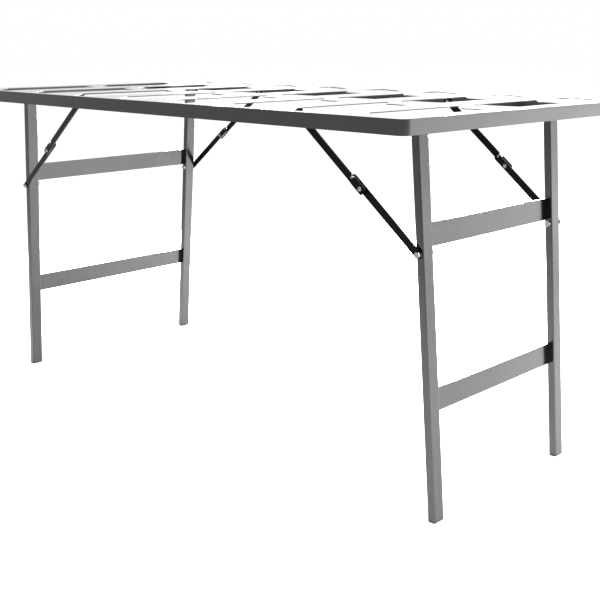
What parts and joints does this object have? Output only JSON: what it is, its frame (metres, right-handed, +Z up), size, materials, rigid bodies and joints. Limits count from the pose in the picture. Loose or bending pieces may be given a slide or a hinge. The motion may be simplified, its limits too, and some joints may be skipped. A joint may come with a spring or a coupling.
{
  "type": "folding work table",
  "caption": "Folding steel work table: slotted sheet top in a shallow rim on two splayed leg frames held open by jointed flat-bar braces.",
  "frame": {"origin": "on the floor under the middle of the top", "axes": "+X along the table, +Y across it to the rear, +Z up"},
  "size_m": [1.6, 0.84, 0.857],
  "materials": {
    "top_steel": "smooth pale sheet steel, slightly satin",
    "leg_steel": "polished tube and flat bar",
    "fitting_steel": "dark satin flat bar and brackets",
    "bright_fastener": "bright plated fasteners"
  },
  "bodies": {
    "table_top": {"top_plate": "top_steel", "front_rim": "leg_steel", "rear_rim": "leg_steel", "right_rim": "leg_steel", "left_rim": "leg_steel", "right_front_hinge_bracket": "fitting_steel", "right_front_brace_lug": "fitting_steel", "right_rear_hinge_bracket": "fitting_steel", "right_rear_brace_lug": "fitting_steel", "right_hinge_pins": "bright_fastener", "right_hinge_nuts": "bright_fastener", "right_lug_rivets": "bright_fastener", "left_front_hinge_bracket": "fitting_steel", "left_front_brace_lug": "fitting_steel", "left_rear_hinge_bracket": "fitting_steel", "left_rear_brace_lug": "fitting_steel", "left_hinge_pins": "bright_fastener", "left_hinge_nuts": "bright_fastener", "left_lug_rivets": "bright_fastener"},
    "right_leg_frame": {"right_front_leg": "leg_steel", "right_rear_leg": "leg_steel", "right_upper_crossbar": "leg_steel", "right_lower_crossbar": "leg_steel", "right_foot_caps": "leg_steel", "right_brace_bolts": "bright_fastener", "right_brace_spacers": "bright_fastener"},
    "right_front_upper_brace": {"right_front_upper_bar": "fitting_steel", "right_front_knuckle_rivet": "bright_fastener"},
    "right_front_lower_brace": {"right_front_lower_bar": "fitting_steel", "right_front_stop_pin": "bright_fastener", "right_front_bolt_end": "bright_fastener", "right_front_brace_nut": "bright_fastener"},
    "right_rear_upper_brace": {"right_rear_upper_bar": "fitting_steel", "right_rear_knuckle_rivet": "bright_fastener"},
    "right_rear_lower_brace": {"right_rear_lower_bar": "fitting_steel", "right_rear_stop_pin": "bright_fastener", "right_rear_bolt_end": "bright_fastener", "right_rear_brace_nut": "bright_fastener"},
    "left_leg_frame": {"left_front_leg": "leg_steel", "left_rear_leg": "leg_steel", "left_upper_crossbar": "leg_steel", "left_lower_crossbar": "leg_steel", "left_foot_caps": "leg_steel", "left_brace_bolts": "bright_fastener", "left_brace_spacers": "bright_fastener"},
    "left_front_upper_brace": {"left_front_upper_bar": "fitting_steel", "left_front_knuckle_rivet": "bright_fastener"},
    "left_front_lower_brace": {"left_front_lower_bar": "fitting_steel", "left_front_stop_pin": "bright_fastener", "left_front_bolt_end": "bright_fastener", "left_front_brace_nut": "bright_fastener"},
    "left_rear_upper_brace": {"left_rear_upper_bar": "fitting_steel", "left_rear_knuckle_rivet": "bright_fastener"},
    "left_rear_lower_brace": {"left_rear_lower_bar": "fitting_steel", "left_rear_stop_pin": "bright_fastener", "left_rear_bolt_end": "bright_fastener", "left_rear_brace_nut": "bright_fastener"}
  },
  "joints": [
    {"name": "right_leg_fold", "type": "hinge", "parent": "table_top", "child": "right_leg_frame", "pos_m": [0.69515, 0, 0.841], "axis": [0, 1, 0], "range_deg": [0, 95.39]},
    {"name": "right_front_upper_brace_fold", "type": "hinge", "parent": "table_top", "child": "right_front_upper_brace", "pos_m": [0.384, -0.273, 0.841], "axis": [0, 1, 0], "range_deg": [-38.36, 0]},
    {"name": "right_front_knuckle", "type": "hinge", "parent": "right_front_upper_brace", "child": "right_front_lower_brace", "pos_m": [0.56936, -0.2647, 0.69436], "axis": [0, 1, 0], "range_deg": [0, 180.01]},
    {"name": "right_rear_upper_brace_fold", "type": "hinge", "parent": "table_top", "child": "right_rear_upper_brace", "pos_m": [0.384, 0.273, 0.841], "axis": [0, 1, 0], "range_deg": [-38.36, 0]},
    {"name": "right_rear_knuckle", "type": "hinge", "parent": "right_rear_upper_brace", "child": "right_rear_lower_brace", "pos_m": [0.56936, 0.2647, 0.69436], "axis": [0, 1, 0], "range_deg": [0, 180.01]},
    {"name": "left_leg_fold", "type": "hinge", "parent": "table_top", "child": "left_leg_frame", "pos_m": [-0.69562, 0, 0.836], "axis": [0, -1, 0], "range_deg": [0, 95.39]},
    {"name": "left_front_upper_brace_fold", "type": "hinge", "parent": "table_top", "child": "left_front_upper_brace", "pos_m": [-0.384, -0.327, 0.836], "axis": [0, -1, 0], "range_deg": [-37.83, 0]},
    {"name": "left_front_knuckle", "type": "hinge", "parent": "left_front_upper_brace", "child": "left_front_lower_brace", "pos_m": [-0.57166, -0.3187, 0.69033], "axis": [0, -1, 0], "range_deg": [0, 180.01]},
    {"name": "left_rear_upper_brace_fold", "type": "hinge", "parent": "table_top", "child": "left_rear_upper_brace", "pos_m": [-0.384, 0.327, 0.836], "axis": [0, -1, 0], "range_deg": [-37.83, 0]},
    {"name": "left_rear_knuckle", "type": "hinge", "parent": "left_rear_upper_brace", "child": "left_rear_lower_brace", "pos_m": [-0.57166, 0.3187, 0.69033], "axis": [0, -1, 0], "range_deg": [0, 180.01]}
  ],
  "couplings": [
    {"joint": "right_front_upper_brace_fold", "follows": "right_leg_fold", "ratio": -0.40203},
    {"joint": "right_front_knuckle", "follows": "right_leg_fold", "ratio": 1.887},
    {"joint": "right_rear_upper_brace_fold", "follows": "right_leg_fold", "ratio": -0.40203},
    {"joint": "right_rear_knuckle", "follows": "right_leg_fold", "ratio": 1.887},
    {"joint": "left_front_upper_brace_fold", "follows": "left_leg_fold", "ratio": -0.39649},
    {"joint": "left_front_knuckle", "follows": "left_leg_fold", "ratio": 1.887},
    {"joint": "left_rear_upper_brace_fold", "follows": "left_leg_fold", "ratio": -0.39649},
    {"joint": "left_rear_knuckle", "follows": "left_leg_fold", "ratio": 1.887}
  ]
}
